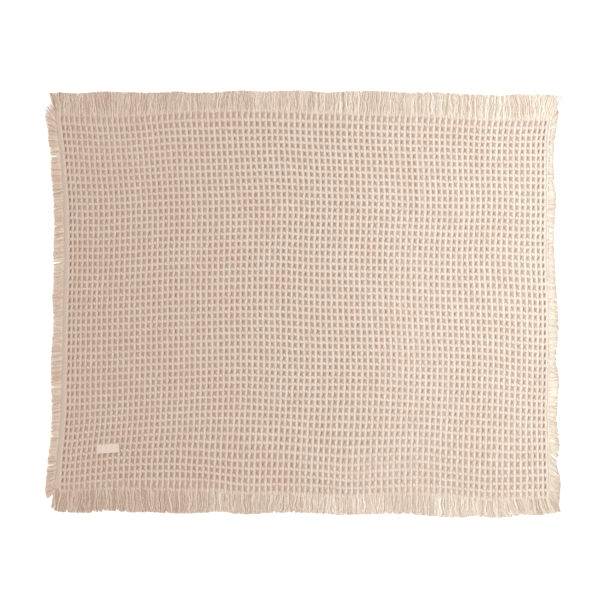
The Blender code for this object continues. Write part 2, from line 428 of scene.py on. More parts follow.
def waffleMaterial(finish):
    material, tree, shader = newMaterial("woven waffle cotton", finish["roughness"], finish["sheen"])
    column, row, plain, face = [
        addNode(tree, "ShaderNodeAttribute", attribute_name=name).outputs["Fac"]
        for name in ("column", "row", "plain", "top")
    ]
    place = addNode(tree, "ShaderNodeTexCoord").outputs["Object"]
    # a thread count along each way, and how near the place is to a ridge each way
    threads = []
    nearness = []
    cellNumbers = []
    ways = (
        (column, layout["threadsPerColumn"], finish["creaseCentre"]),
        (row, layout["threadsPerRow"], 0.5),
    )
    for source, count, centre in ways:
        counted = addNode(tree, "ShaderNodeMath", {0: source, 1: count * np.pi}, operation="MULTIPLY")
        wave = addNode(tree, "ShaderNodeMath", {0: counted}, operation="SINE")
        threads.append(addNode(tree, "ShaderNodeMath", {0: wave}, operation="ABSOLUTE"))
        share = addNode(tree, "ShaderNodeMath", {0: source}, operation="FRACT")
        middle = addNode(tree, "ShaderNodeMath", {0: share, 1: centre}, operation="SUBTRACT")
        nearness.append(addNode(tree, "ShaderNodeMath", {0: middle}, operation="ABSOLUTE"))
        cellNumbers.append(addNode(tree, "ShaderNodeMath", {0: source}, operation="FLOOR"))
    cell = addNode(tree, "ShaderNodeCombineXYZ", {0: cellNumbers[0], 1: cellNumbers[1]})
    cellChance = addNode(tree, "ShaderNodeTexWhiteNoise", {"Vector": cell}).outputs["Value"]
    lead = addNode(tree, "ShaderNodeMath", {0: nearness[0], 1: nearness[1]}, operation="SUBTRACT")
    # the warp shows at the sides of a well, the weft at its ends, and a plain band is all warp
    warpShare = addNode(tree, "ShaderNodeMapRange", {
        "Value": lead, "From Min": -finish["turnWidth"], "From Max": finish["turnWidth"],
    })
    warpHere = addNode(tree, "ShaderNodeMath", {0: warpShare, 1: plain}, operation="MAXIMUM")
    thread = addNode(tree, "ShaderNodeMix", {
        0: warpHere, 2: threads[1], 3: threads[0],
    }, data_type="FLOAT")
    fuzz = addNode(tree, "ShaderNodeTexNoise", {"Vector": place, "Scale": finish["fuzz"], "Detail": 3.0})
    height = addNode(tree, "ShaderNodeMath", {
        0: fuzz, 1: finish["fuzzShare"], 2: thread,
    }, operation="MULTIPLY_ADD")
    # colour: painted shade, warmer and darker with depth, more in some cells than in others, and a slow
    # drift over the cloth
    z = addNode(tree, "ShaderNodeSeparateXYZ", {"Vector": place}).outputs["Z"]
    lowest, highest = finish["paintedShadeDepths"]
    depth = addNode(tree, "ShaderNodeMapRange", {"Value": z, "From Min": lowest, "From Max": highest})
    depth = addNode(tree, "ShaderNodeMath", {
        0: cellChance, 1: finish["cellSpread"], 2: depth,
    }, operation="MULTIPLY_ADD")
    depth = addNode(tree, "ShaderNodeMath", {
        0: depth, 1: finish["cellSpread"] / 2,
    }, operation="SUBTRACT", use_clamp=True)
    # the flat back has painted shade as if it were the face turned over: raised in the middle of a cell
    # and deep under the ridges
    furthest = addNode(tree, "ShaderNodeMath", {0: nearness[0], 1: nearness[1]}, operation="MAXIMUM")
    nearest, outermost = finish["backPlaces"]
    backPaintedShade = addNode(tree, "ShaderNodeMapRange", {
        "Value": furthest, "From Min": nearest, "From Max": outermost,
        "To Min": 1.0, "To Max": finish["backDeepestPaintedShade"],
    })
    depth = addNode(tree, "ShaderNodeMix", {0: face, 2: backPaintedShade, 3: depth}, data_type="FLOAT")
    depth = addNode(tree, "ShaderNodeMath", {0: depth, 1: plain}, operation="MAXIMUM")
    top = driftingTone(tree, place, finish["ridge"], finish["blush"])
    # the plain band at the right is the paler one, painted paler as painted light
    side = addNode(tree, "ShaderNodeMath", {
        0: column, 1: layout["columns"] / 2,
    }, operation="GREATER_THAN")
    band = addNode(tree, "ShaderNodeMix", {
        0: side, 6: linearColour(finish["leftBand"]), 7: linearColour(finish["rightBandPaintedLight"]),
    }, data_type="RGBA")
    top = addNode(tree, "ShaderNodeMix", {0: plain, 6: top, 7: band}, data_type="RGBA")
    body = addNode(tree, "ShaderNodeMix", {
        0: depth, 6: linearColour(finish["deep"]), 7: top,
    }, data_type="RGBA")
    # painted shade between threads, in the creases where the floats dive under each other, and in spots
    # in the wells
    paintedShade = addNode(tree, "ShaderNodeMapRange", {
        "Value": thread, "From Max": finish["gapWidth"], "To Min": finish["gapShade"], "To Max": 0.0,
    })
    corner = addNode(tree, "ShaderNodeMath", {0: lead}, operation="ABSOLUTE")
    crease = addNode(tree, "ShaderNodeMapRange", {
        "Value": corner, "From Max": finish["creaseWidth"],
        "To Min": finish["creaseShade"], "To Max": 0.0,
    })
    paintedShadeSpots = addNode(tree, "ShaderNodeTexNoise", {
        "Vector": place, "Scale": 1 / finish["spotSize"], "Detail": 1.0,
    })
    first, full = finish["spotRange"]
    paintedShadeSpots = addNode(tree, "ShaderNodeMapRange", {
        "Value": paintedShadeSpots, "From Min": first, "From Max": full, "To Max": finish["spotShade"],
    })
    deep = addNode(tree, "ShaderNodeMath", {0: 1.0, 1: depth}, operation="SUBTRACT", use_clamp=True)
    paintedShadeSpots = addNode(tree, "ShaderNodeMath", {0: paintedShadeSpots, 1: deep}, operation="MULTIPLY")
    waffled = addNode(tree, "ShaderNodeMath", {0: 1.0, 1: plain}, operation="SUBTRACT")
    crease = addNode(tree, "ShaderNodeMath", {0: crease, 1: waffled}, operation="MULTIPLY")
    shade = addNode(tree, "ShaderNodeMath", {0: paintedShade, 1: crease}, operation="MAXIMUM")
    shade = addNode(tree, "ShaderNodeMath", {0: shade, 1: paintedShadeSpots}, operation="ADD", use_clamp=True)
    colour = addNode(tree, "ShaderNodeMix", {
        0: shade, 6: body, 7: linearColour(finish["paintedShade"]),
    }, data_type="RGBA", blend_type="MULTIPLY")
    linkSurface(tree, shader, colour, height, finish["threadRelief"])
    return material


def yarnMaterial(name, finish):
    material, tree, shader = newMaterial(name, finish["roughness"], finish["sheen"])
    along, around, tint = [
        addNode(tree, "ShaderNodeAttribute", attribute_name=name).outputs["Fac"]
        for name in ("along", "around", "tint")
    ]
    place = addNode(tree, "ShaderNodeTexCoord").outputs["Object"]
    turns = addNode(tree, "ShaderNodeMath", {0: along, 1: 1 / finish["twist"]}, operation="MULTIPLY")
    slant = addNode(tree, "ShaderNodeMath", {0: around, 1: 1.0, 2: turns}, operation="MULTIPLY_ADD")
    strayed = addNode(tree, "ShaderNodeMath", {
        0: tint, 1: yarnGrain["ownStart"], 2: slant,
    }, operation="MULTIPLY_ADD")
    phase = addNode(tree, "ShaderNodeMath", {0: strayed, 1: 2 * np.pi}, operation="MULTIPLY")
    wave = addNode(tree, "ShaderNodeMath", {0: phase}, operation="SINE")
    ply = addNode(tree, "ShaderNodeMath", {0: wave}, operation="ABSOLUTE")
    fuzz = addNode(tree, "ShaderNodeTexNoise", {
        "Vector": place, "Scale": yarnGrain["fuzz"], "Detail": 3.0,
    })
    height = addNode(tree, "ShaderNodeMath", {
        0: fuzz, 1: yarnGrain["fuzzShare"], 2: ply,
    }, operation="MULTIPLY_ADD")
    # lighter along each ply than in the painted shade of the grooves, lighter where the yarn is fuller,
    # and a slow drift of tone over the cloth
    mixed = addNode(tree, "ShaderNodeMath", {
        0: ply, 1: yarnGrain["plyTone"], 2: tint,
    }, operation="MULTIPLY_ADD")
    slubs = addNode(tree, "ShaderNodeTexNoise", {
        "Vector": place, "Scale": yarnGrain["slubs"], "Detail": 1.0,
    })
    mixed = addNode(tree, "ShaderNodeMath", {
        0: slubs, 1: yarnGrain["slubTone"], 2: mixed,
    }, operation="MULTIPLY_ADD")
    darkest, lightest = yarnGrain["tones"]
    share = addNode(tree, "ShaderNodeMapRange", {
        "Value": mixed, "From Min": darkest, "From Max": lightest,
    })
    light = driftingTone(tree, place, finish["light"], finish["blush"])
    colour = addNode(tree, "ShaderNodeMix", {
        0: share, 6: linearColour(finish["shade"]), 7: light,
    }, data_type="RGBA")
    linkSurface(tree, shader, colour, height, finish["relief"])
    return material


def tapeMaterial(finish):
    material, tree, shader = newMaterial("woven label tape", finish["roughness"], finish["sheen"])
    place = addNode(tree, "ShaderNodeTexCoord").outputs["Object"]
    turned = addNode(tree, "ShaderNodeMapping", {
        "Vector": place, "Rotation": (0.0, 0.0, -np.radians(finish["ribTurn"])),
    })
    # the texture's waves run 20 radians to a unit, and a rib takes up half a wave
    ribs = addNode(tree, "ShaderNodeTexWave", {
        "Vector": turned, "Scale": 1 / finish["ribWidth"] / 20 * np.pi, "Distortion": 0.6, "Detail": 2.0,
    }, bands_direction="Y")
    colour = addNode(tree, "ShaderNodeMix", {
        0: ribs.outputs["Fac"], 6: linearColour(finish["rib"]), 7: linearColour(finish["face"]),
    }, data_type="RGBA")
    linkSurface(tree, shader, colour, ribs.outputs["Fac"], finish["relief"])
    return material


waffleFinish = waffleMaterial(waffleCotton)
floatFinish = yarnMaterial("spun cotton floats", spunFloats)
fringeFinish = yarnMaterial("loose plied cotton", pliedCotton)
tapeFinish = tapeMaterial(labelTape)
print("finishes ready")

relief = {
    # where the grid is cut within a column: a ridge, the wall's foot, the deepest line, the other foot
    "columnStops": (0.0, 0.2, 0.4, 0.82),
    "rowStops": (0.0, 0.15, 0.41, 0.57, 0.86),  # the same within a row, with a flat floor
    "bandStops": (0.0, 0.3, 0.6, 0.85),
    "footHeight": 3.0,    # mm, where the ridge yarns lie in the cloth
    "wellFloor": 0.85,
    "floorSpread": 0.04,  # how far the wells differ in depth
    "cellShift": 0.03,    # and in place, as a share of a cell
    "creaseDepth": 0.9,
    "bandHeight": 3.5,
    "edgeHeight": 2.9,
    "unevenness": 0.2,    # how far single points stray
    "unevenUp": 0.6,      # and the share of it up and down
    "seed": 5,
    # how much shallower the wells are at the far left, far right and bottom, where the cloth is looser,
    # and in the first and last rows, and how much deeper in the slits at both sides
    "leftSlack": 0.9,
    "rightSlack": 0.3,
    "lowerSlack": 0.35,
    "rimSlack": 0.5,
    "slitDepth": 0.5,
    "firmest": (45, 30),              # the column and row where the cloth is firmest
    "turnedFaces": ((2, 1), (1, 3)),  # in each cell, the faces that a crease crosses the other way
}
# what the tree takes from those, under these names
reliefInputs = {
    "Foot Height": "footHeight", "Well Floor": "wellFloor", "Floor Spread": "floorSpread",
    "Cell Shift": "cellShift", "Crease Depth": "creaseDepth", "Band Height": "bandHeight",
    "Edge Height": "edgeHeight", "Unevenness": "unevenness",
}


# Raises a flat sheet of cells: a well in each, with creases running in from its corners.
def reliefTree(settings):
    sizes = {name: "Float" for name in reliefInputs}
    tree, given = newTree("waffleRelief", {**sizes, "Seed": "Int", "Material": "Material"})
    given = given.outputs
    names = ("column", "row", "plain", "edge", "lift", "slack", "top")
    column, row, plain, edge, lift, slack, top = [
        addNode(tree, "GeometryNodeInputNamedAttribute", {"Name": name}, data_type="FLOAT")
        for name in names
    ]
    # every cell has its own chance, from a number that no other cell has
    inColumn = addNode(tree, "ShaderNodeMath", {0: column}, operation="FLOOR")
    inRow = addNode(tree, "ShaderNodeMath", {0: row}, operation="FLOOR")
    number = addNode(tree, "ShaderNodeMath", {0: inRow, 1: 100.0, 2: inColumn}, operation="MULTIPLY_ADD")
    chance = addNode(tree, "FunctionNodeRandomValue", {
        0: (-1.0, -1.0, -1.0), 1: (1.0, 1.0, 1.0), "ID": number, "Seed": given["Seed"],
    }, data_type="FLOAT_VECTOR")
    chance = addNode(tree, "ShaderNodeSeparateXYZ", {"Vector": chance.outputs[0]}).outputs
    # 1 at the walls' feet and 0 on the floor of the well, each way
    walls = []
    ways = ((column, chance["X"], settings["columnStops"]), (row, chance["Y"], settings["rowStops"]))
    for source, own, stops in ways:
        share = addNode(tree, "ShaderNodeMath", {0: source}, operation="FRACT")
        share = addNode(tree, "ShaderNodeMath", {
            0: own, 1: given["Cell Shift"], 2: share,
        }, operation="MULTIPLY_ADD")
        near = addNode(tree, "ShaderNodeMapRange", {
            "Value": share, "From Min": stops[2], "From Max": stops[1],
        })
        far = addNode(tree, "ShaderNodeMapRange", {
            "Value": share, "From Min": stops[-2], "From Max": stops[-1],
        })
        walls.append(addNode(tree, "ShaderNodeMath", {0: near, 1: far}, operation="MAXIMUM"))
    wall = addNode(tree, "ShaderNodeMath", {0: walls[0], 1: walls[1]}, operation="MAXIMUM")
    both = addNode(tree, "ShaderNodeMath", {0: walls[0], 1: walls[1]}, operation="MINIMUM")
    floor = addNode(tree, "ShaderNodeMath", {0: given["Well Floor"], 1: slack}, operation="ADD")
    floor = addNode(tree, "ShaderNodeMath", {
        0: chance["Z"], 1: given["Floor Spread"], 2: floor,
    }, operation="MULTIPLY_ADD")
    depth = addNode(tree, "ShaderNodeMath", {0: given["Foot Height"], 1: floor}, operation="SUBTRACT")
    raised = addNode(tree, "ShaderNodeMath", {0: wall, 1: depth, 2: floor}, operation="MULTIPLY_ADD")
    crease = addNode(tree, "ShaderNodeMath", {0: both, 1: given["Crease Depth"]}, operation="MULTIPLY")
    cell = addNode(tree, "ShaderNodeMath", {0: raised, 1: crease}, operation="SUBTRACT")
    # the plain bands slope down to the cloth's edge
    band = addNode(tree, "ShaderNodeMapRange", {
        "Value": edge, "To Min": given["Band Height"], "To Max": given["Edge Height"],
    })
    height = addNode(tree, "ShaderNodeMix", {0: plain, 2: cell, 3: band}, data_type="FLOAT")
    up = settings["unevenUp"]
    stray = addNode(tree, "FunctionNodeRandomValue", {
        0: (-1.0, -1.0, -up), 1: (1.0, 1.0, up), "Seed": given["Seed"],
    }, data_type="FLOAT_VECTOR")
    stray = addNode(tree, "ShaderNodeVectorMath", {
        0: stray.outputs[0], "Scale": given["Unevenness"],
    }, operation="SCALE")
    straight = addNode(tree, "ShaderNodeCombineXYZ", {"Z": height})
    offset = addNode(tree, "ShaderNodeVectorMath", {0: straight, 1: stray}, operation="ADD")
    inMetres = addNode(tree, "ShaderNodeVectorMath", {0: offset, "Scale": millimetre}, operation="SCALE")
    lifted = addNode(tree, "ShaderNodeCombineXYZ", {"Z": lift})
    total = addNode(tree, "ShaderNodeVectorMath", {0: inMetres, 1: lifted}, operation="ADD")
    above = addNode(tree, "FunctionNodeCompare", {
        0: top, 1: 0.5,
    }, data_type="FLOAT", operation="GREATER_THAN")
    moved = addNode(tree, "GeometryNodeSetPosition", {
        "Geometry": given["Geometry"], "Selection": above, "Offset": total,
    })
    closeTree(tree, moved, given["Material"])
    return tree


def gridFaces(first, across, down):
    corner = first + np.arange(down - 1)[:, None] * across + np.arange(across - 1)
    faces = np.stack([corner, corner + across, corner + across + 1, corner + 1], axis=-1)
    return faces.reshape(-1, 4).tolist()


# The flat sheet that the tree raises: fine on top, coarse beneath, and closed round the edge.
def buildRelief(settings):
    columns = layout["columns"]
    rows = layout["rows"]
    bandStops = np.array(settings["bandStops"])
    across = np.concatenate([
        bandStops - 1,
        (np.arange(columns)[:, None] + settings["columnStops"]).ravel(),
        [columns],
        columns + 1 - bandStops[::-1],
    ])
    down = np.append((np.arange(rows)[:, None] + settings["rowStops"]).ravel(), rows)
    column, row = np.meshgrid(across, down)
    coarseColumn, coarseRow = np.meshgrid(np.arange(-1, columns + 2), np.arange(rows + 1))
    fine = column.size
    column = np.concatenate([column.ravel(), coarseColumn.ravel()])
    row = np.concatenate([row.ravel(), coarseRow.ravel()])
    x, y = clothPoint(column, row)
    top = (np.arange(len(column)) < fine).astype(float)
    outside = np.maximum(-column, column - columns)
    firmColumn, firmRow = settings["firmest"]
    slack = settings["leftSlack"] * np.clip(1 - column / firmColumn, 0, 1)
    slack += settings["rightSlack"] * np.clip(column / firmColumn - 1, 0, 1)
    slack += settings["lowerSlack"] * np.clip(row / firmRow - 1, 0, 1)
    slack += settings["rimSlack"] * ((row < 1) | (row > rows - 1))
    slack -= settings["slitDepth"] * ((column < 1) | (column > columns - 1))
    faces = gridFaces(0, len(across), len(down))
    # the creases run from corner to corner, so the faces that they cross are cut along them
    cellWide = len(settings["columnStops"])
    cellHigh = len(settings["rowStops"])
    for k in range(len(faces)):
        place = (k % (len(across) - 1) % cellWide, k // (len(across) - 1) % cellHigh)
        if place in settings["turnedFaces"]:
            faces[k] = faces[k][1:] + faces[k][:1]
    faces += [face[::-1] for face in gridFaces(fine, columns + 3, rows + 1)]
    faces += closingFaces(across, down, fine, columns, rows)
    piece = newPiece("waffleCloth", np.stack([x, y, x * 0], axis=-1), [], faces, {
        "column": column,
        "row": row,
        "plain": (outside > 0) | (column == 0) | (column == columns),
        "edge": np.clip(outside, 0, 1),
        "lift": liftAt(x, y),
        "slack": slack,
        "top": top,
    })
    sizes = {name: settings[key] for name, key in reliefInputs.items()}
    return runTree(piece, reliefTree(settings), {
        **sizes, "Seed": settings["seed"], "Material": waffleFinish,
    })


# Faces down from the fine edge to the coarse one, a cell at a time.
def closingFaces(across, down, fine, columns, rows):
    wide = len(across)
    coarseWide = columns + 3
    faces = []
    atColumn = [int(np.searchsorted(across, c - 1e-6)) for c in range(-1, columns + 2)]
    atRow = [int(np.searchsorted(down, r - 1e-6)) for r in range(rows + 1)]
    for k in range(coarseWide - 1):
        upper = list(range(atColumn[k], atColumn[k + 1] + 1))
        faces.append([fine + k + 1, fine + k] + upper)
        lower = [(len(down) - 1) * wide + i for i in upper]
        last = fine + rows * coarseWide
        faces.append([last + k, last + k + 1] + lower[::-1])
    for k in range(rows):
        left = [j * wide for j in range(atRow[k], atRow[k + 1] + 1)]
        faces.append([fine + k * coarseWide, fine + (k + 1) * coarseWide] + left[::-1])
        right = [j + wide - 1 for j in left]
        edge = fine + coarseWide - 1
        faces.append([edge + (k + 1) * coarseWide, edge + k * coarseWide] + right)
    return faces


cloth = buildRelief(relief)
print("waffle relief", len(cloth.data.vertices))

# Half of a section through three yarns that lie side by side, from the left foot over to the right
# one, as shares of the bundle's half width and half thickness.
bundleSection = (
    (-1.0, -1.0), (-0.75, 0.55), (-0.38, 0.5), (0.0, 0.9), (0.38, 0.5), (0.75, 0.55), (1.0, -1.0),
)
# A single soft yarn, starting underneath.
yarnSection = ((-0.5, -0.87), (-1.0, 0.0), (-0.5, 0.87), (0.5, 0.87), (1.0, 0.0), (0.5, -0.87))


# Sweeps a section along paths. The paths carry the width of the yarn and its tint.
def yarnTree():
    tree, given = newTree("yarnOnPath", {
        "Section": "Object", "Half Width": "Float", "Flatness": "Float", "Material": "Material",
    })
    given = given.outputs
    section = addNode(tree, "GeometryNodeObjectInfo", {"Object": given["Section"]})
    outline = addNode(tree, "GeometryNodeMeshToCurve", {"Mesh": section.outputs["Geometry"]})
    outlineShare = addNode(tree, "GeometryNodeSplineParameter")
    outline = addNode(tree, "GeometryNodeStoreNamedAttribute", {
        "Geometry": outline, "Name": "around", "Value": outlineShare.outputs["Factor"],
    }, data_type="FLOAT", domain="POINT")
    squash = addNode(tree, "ShaderNodeCombineXYZ", {"X": 1.0, "Y": given["Flatness"], "Z": 1.0})
    position = addNode(tree, "GeometryNodeInputPosition")
    squashed = addNode(tree, "ShaderNodeVectorMath", {0: position, 1: squash}, operation="MULTIPLY")
    outline = addNode(tree, "GeometryNodeSetPosition", {"Geometry": outline, "Position": squashed})
    paths = addNode(tree, "GeometryNodeMeshToCurve", {"Mesh": given["Geometry"]})
    pathLength = addNode(tree, "GeometryNodeSplineParameter")
    paths = addNode(tree, "GeometryNodeStoreNamedAttribute", {
        "Geometry": paths, "Name": "along", "Value": pathLength.outputs["Length"],
    }, data_type="FLOAT", domain="POINT")
    paths = addNode(tree, "GeometryNodeSetCurveNormal", {"Curve": paths}, mode="Z_UP")
    width = addNode(tree, "GeometryNodeInputNamedAttribute", {"Name": "width"}, data_type="FLOAT")
    halfWidth = addNode(tree, "ShaderNodeMath", {0: width, 1: given["Half Width"]}, operation="MULTIPLY")
    paths = addNode(tree, "GeometryNodeSetCurveRadius", {"Curve": paths, "Radius": halfWidth})
    swept = addNode(tree, "GeometryNodeCurveToMesh", {
        "Curve": paths, "Profile Curve": outline, "Scale": halfWidth, "Fill Caps": True,
    })
    closeTree(tree, swept, given["Material"])
    return tree


yarnOnPath = yarnTree()


# All paths have the same number of points: arrays of paths by points.
def sweepYarns(name, x, y, z, width, tint, section, halfWidth, flatness, material):
    count, stops = x.shape
    step = np.arange(stops - 1)
    first = (np.arange(count)[:, None] * stops + step).ravel()
    edges = np.stack([first, first + 1], axis=-1).tolist()
    vertices = np.stack([x.ravel(), y.ravel(), z.ravel()], axis=-1)
    outline = [(across, -up, 0.0) for across, up in section]
    ring = [(i, (i + 1) % len(section)) for i in range(len(section))]
    sectionObject = newPiece("section", outline, ring, [], {})
    piece = newPiece(name, vertices, edges, [], {"width": width.ravel(), "tint": tint.ravel()})
    runTree(piece, yarnOnPath, {
        "Section": sectionObject,
        "Half Width": halfWidth * millimetre,
        "Flatness": flatness,
        "Material": material,
    })
    bpy.data.objects.remove(sectionObject, do_unlink=True)
    return piece


warpRidge = {
    "stops": (0.0, 0.3, 0.7),
    "heights": (3.7, 3.4, 3.4),    # mm, over the weft at a crossing and full between
    "jogs": (0.0, 0.5, -0.5),      # mm aside, so that it slants over each crossing
    "widths": (0.88, 1.0, 1.0),
    "runOut": ((0.3, 2.9, 0.6),),  # past the cloth's edge: rows, height, width
    "outerDrop": 0.0,
    "halfWidth": 3.0,
    "flatness": 0.26,
    "seed": 11,
}
weftRidge = {
    "stops": (0.0, 0.28, 0.72),
    "heights": (2.55, 3.15, 3.15),  # under the warp at a crossing
    "jogs": (0.0, 0.9, -0.9),
    "widths": (0.8, 1.0, 1.0),
    "runOut": (),
    "outerDrop": 0.35,              # the fringes' strands lie over the outermost two
    "halfWidth": 3.4,
    "flatness": 0.27,
    "seed": 12,
}
ridgeYarn = {
    "wander": (0.3, 0.3, 0.09),  # mm, how far it strays across, along and up
    "widthSpread": 0.06,
    "tints": (0.68, 0.92),
    "rightPaintedShade": 0.06,        # how much darker the yarns are painted at the right, as painted shade
    "cornerPaintedShade": 0.14,       # and how much more so in the lower right corner
}


def buildRidges(name, settings, lines, cells, alongRows):
    chance = np.random.default_rng(settings["seed"])
    stops = np.append((np.arange(cells)[:, None] + settings["stops"]).ravel(), cells)
    heights = np.append(np.tile(settings["heights"], cells), settings["heights"][0])
    widths = np.append(np.tile(settings["widths"], cells), settings["widths"][0])
    jogs = np.append(np.tile(settings["jogs"], cells), settings["jogs"][0])
    for past, height, width in settings["runOut"]:
        stops = np.concatenate([[-past], stops, [cells + past]])
        heights = np.concatenate([[height], heights, [height]])
        widths = np.concatenate([[width], widths, [width]])
        jogs = np.concatenate([[0.0], jogs, [0.0]])
    line, stop = np.meshgrid(np.arange(lines), stops, indexing="ij")
    column, row = (stop, line) if alongRows else (line, stop)
    x, y = clothPoint(column.ravel(), row.ravel())
    lift = liftAt(x, y)
    wander = chance.normal(size=(3, line.size)) * np.array(ridgeYarn["wander"])[:, None] * millimetre
    wander[1 if alongRows else 0] += np.tile(jogs, lines) * millimetre
    drop = np.isin(line.ravel(), (0, lines - 1)) * settings["outerDrop"] * millimetre
    z = np.tile(heights, lines) * millimetre + lift + wander[2] - drop
    width = np.tile(widths, lines) * chance.normal(1.0, ridgeYarn["widthSpread"], line.size)
    tint = chance.uniform(*ridgeYarn["tints"], line.shape)
    # painted shade: the yarns darker towards the right, and more so towards the lower right corner
    rightward = np.clip(column / layout["columns"] * 2 - 1, 0, 1)
    downward = np.clip(row / layout["rows"] * 2 - 1, 0, 1)
    tint -= rightward * (ridgeYarn["rightPaintedShade"] + ridgeYarn["cornerPaintedShade"] * downward)
    shape = line.shape
    return sweepYarns(
        name,
        (x + wander[0]).reshape(shape), (y + wander[1]).reshape(shape), z.reshape(shape),
        width.reshape(shape), tint, bundleSection,
        settings["halfWidth"], settings["flatness"], floatFinish,
    )


warpRidges = buildRidges("warpRidgeYarns", warpRidge, layout["columns"] + 1, layout["rows"], False)
print("warp ridges", len(warpRidges.data.vertices))
weftRidges = buildRidges("weftRidgeYarns", weftRidge, layout["rows"] + 1, layout["columns"], True)
print("weft ridges", len(weftRidges.data.vertices))

# Where each fringe's strands end, in mm: places along the edge and how far out. leans are how far
# a tip lies along the edge from its root, and partings are gaps: place and width at the tips. tones
# make it paler or darker along the edge, partly the strands' own tone and partly painted shade, most of
# it along the right and towards the lower right corner, and rootTone at its roots. inset is how far
# inside the cloth the strands start, and stray how far the tufts lean at random. pull is how tightly the
# strands gather in tufts halfway, and held how much of that is left at their tips. curl and ragged are
# in mm.
fringes = {
    "fringe_top": {
        "piece": "fringeTopStrands", "side": (0, 1), "strands": 690, "seed": 21,
        "tips": (
            (-596, 492), (-577, 495), (-549, 493), (-521, 493), (-465, 497), (-409, 495), (-325, 495),
            (-297, 497), (-269, 495), (-213, 495), (-157, 499), (-130, 499), (-102, 497), (-46, 499),
            (10, 499), (66, 495), (94, 497), (206, 497), (234, 495), (318, 495), (346, 493), (374, 491),
            (430, 490), (457, 488), (485, 490), (569, 490), (600, 488),
        ),
        "leans": (
            (-584, -12), (-565, -6), (-540, -2), (-500, -3), (-480, -5), (-450, -1), (-300, 1), (0, 0),
            (300, 1), (400, 3), (440, 5), (480, -2), (530, -2), (555, 8), (566, 12), (578, 18),
        ),
        "partings": (),
        "tones": ((-580, 0.0), (0, -0.05), (300, -0.12), (400, -0.07), (500, -0.07), (560, 0.08)),
        "rootTone": 0.0, "inset": (1.5, 5.0), "stray": 3.0, "pull": 0.32, "held": 0.1,
        "curl": 3.2, "bend": 1.4, "ragged": 1.5,
    },
    "fringe_bottom": {
        "piece": "fringeBottomStrands", "side": (0, -1), "strands": 690, "seed": 22,
        "tips": (
            (-590, -474), (-577, -481), (-549, -484), (-521, -486), (-493, -484), (-465, -481),
            (-437, -481), (-409, -484), (-353, -484), (-325, -486), (-241, -486), (-213, -484),
            (-186, -484), (-158, -488), (-102, -488), (-74, -486), (10, -486), (66, -490), (262, -490),
            (290, -493), (318, -495), (346, -497), (374, -497), (401, -493), (429, -497), (457, -497),
            (485, -495), (513, -490), (541, -492), (569, -488), (597, -484),
        ),
        "leans": (
            (-584, -6), (-560, -8), (-540, -9), (-510, -8), (-480, -3), (-450, 0), (-200, 1), (0, 1),
            (300, 2), (420, 4), (450, 7), (480, 14), (500, 20), (530, 16), (555, 17), (576, 16),
        ),
        "partings": (),
        # with painted shade towards the lower right corner
        "tones": (
            (-580, -0.06), (-480, -0.16), (-330, -0.16), (-200, -0.03), (150, 0.04), (420, -0.06),
            (500, -0.22), (580, -0.4),
        ),
        "rootTone": 0.0, "inset": (3.5, 7.0), "stray": 3.4, "pull": 0.38, "held": 0.35,
        "curl": 3.0, "bend": 1.9, "ragged": 2.0,
    },
    "fringe_left": {
        "piece": "fringeLeftStrands", "side": (-1, 0), "strands": 520, "seed": 23,
        "tips": (
            (-483, -588), (-456, -600), (-400, -600), (-372, -598), (-316, -591), (-288, -589),
            (-120, -589), (-36, -584), (20, -586), (48, -584), (131, -584), (187, -582), (243, -584),
            (271, -586), (299, -589), (355, -591), (383, -596), (411, -598), (439, -603), (456, -601),
            (464, -596), (472, -586),
        ),
        "leans": (
            (-438, -20), (-425, -13), (-380, -4), (-300, -3), (0, -3), (300, -2), (380, 2), (410, 8),
            (428, 20), (440, 33),
        ),
        "partings": ((-456, 4), (-372, 5), (-304, 4), (-190, 3), (-85, 3), (30, 4), (100, 6), (346, 5)),
        "tones": ((-440, -0.08), (-300, 0.0), (440, 0.0)),
        "rootTone": 0.0, "inset": (1.5, 5.0), "stray": 1.4, "pull": 0.15, "held": 0.2,
        "curl": 1.0, "bend": 0.9, "ragged": 1.7,
    },
    "fringe_right": {
        "piece": "fringeRightStrands", "side": (1, 0), "strands": 520, "seed": 24,
        "tips": (
            (-484, 595), (-456, 597), (-400, 597), (-372, 590), (-344, 595), (-260, 590), (-232, 592),
            (-176, 595), (-120, 588), (-92, 592), (20, 590), (48, 588), (104, 585), (131, 583),
            (187, 585), (243, 588), (299, 583), (355, 583), (383, 585), (411, 589), (425, 591),
            (446, 594), (465, 590), (475, 583),
        ),
        "leans": (
            (-448, -32), (-420, -22), (-380, -17), (-330, -14), (-300, -6), (-200, -3), (0, -2),
            (300, -1), (390, 3), (415, 12), (436, 30),
        ),
        "partings": ((412, 2), (-345, 4), (-120, 3)),
        # darker all along, and most towards the lower right corner: partly painted shade
        "tones": ((-440, -0.7), (-350, -0.42), (-200, -0.34), (440, -0.28)),
        "rootTone": 0.6, "inset": (1.5, 5.0), "stray": 2.0, "pull": 0.15, "held": 0.3,
        "curl": 1.4, "bend": 1.0, "ragged": 2.0,
    },
}
